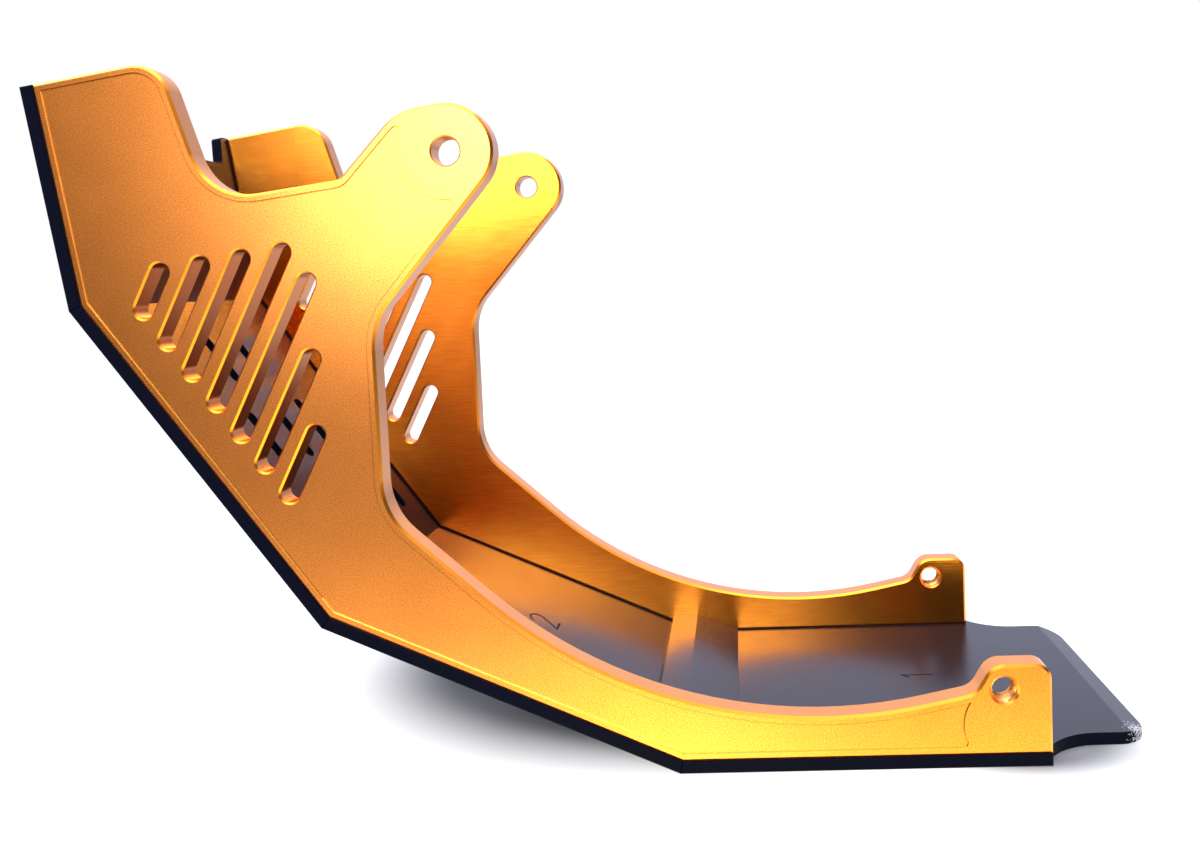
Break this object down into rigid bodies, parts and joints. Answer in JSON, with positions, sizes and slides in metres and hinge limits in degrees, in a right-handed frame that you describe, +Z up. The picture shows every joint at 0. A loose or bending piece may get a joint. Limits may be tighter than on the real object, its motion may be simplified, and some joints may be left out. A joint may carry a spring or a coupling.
{
  "type": "motorcycle skid plate",
  "caption": "Bolted aluminium skid plate for under a motorcycle engine: slotted side plates with mounting lugs joined by a folded shell with cooling slots and a rear tongue.",
  "frame": {"origin": "on the mid-plane between the side plates, at the fold between the ramp plate and the floor plate, on the underside of the floor plate", "axes": "+X to the rear of the motorcycle, +Y to its right-hand side, +Z up"},
  "size_m": [0.4268, 0.1452, 0.2796],
  "materials": {
    "gold_anodised": "fine blasted and brushed, gold anodised",
    "black_anodised": "satin, black anodised",
    "screw_steel": "black oxide"
  },
  "bodies": {
    "root": {"floor_plate": "black_anodised", "front_plate": "black_anodised", "ramp_plate": "black_anodised", "screw_floor_left_1": "screw_steel", "screw_floor_left_2": "screw_steel", "screw_floor_left_3": "screw_steel", "screw_floor_right_1": "screw_steel", "screw_floor_right_2": "screw_steel", "screw_floor_right_3": "screw_steel", "screw_front_left_1": "screw_steel", "screw_front_left_2": "screw_steel", "screw_front_right_1": "screw_steel", "screw_front_right_2": "screw_steel", "screw_ramp_left_1": "screw_steel", "screw_ramp_left_2": "screw_steel", "screw_ramp_left_3": "screw_steel", "screw_ramp_right_1": "screw_steel", "screw_ramp_right_2": "screw_steel", "screw_ramp_right_3": "screw_steel", "screw_vent_left_1": "screw_steel", "screw_vent_left_2": "screw_steel", "screw_vent_left_3": "screw_steel", "screw_vent_right_1": "screw_steel", "screw_vent_right_2": "screw_steel", "screw_vent_right_3": "screw_steel", "side_plate_left": "gold_anodised", "side_plate_right": "gold_anodised", "vent_plate": "black_anodised"}
  },
  "joints": []
}
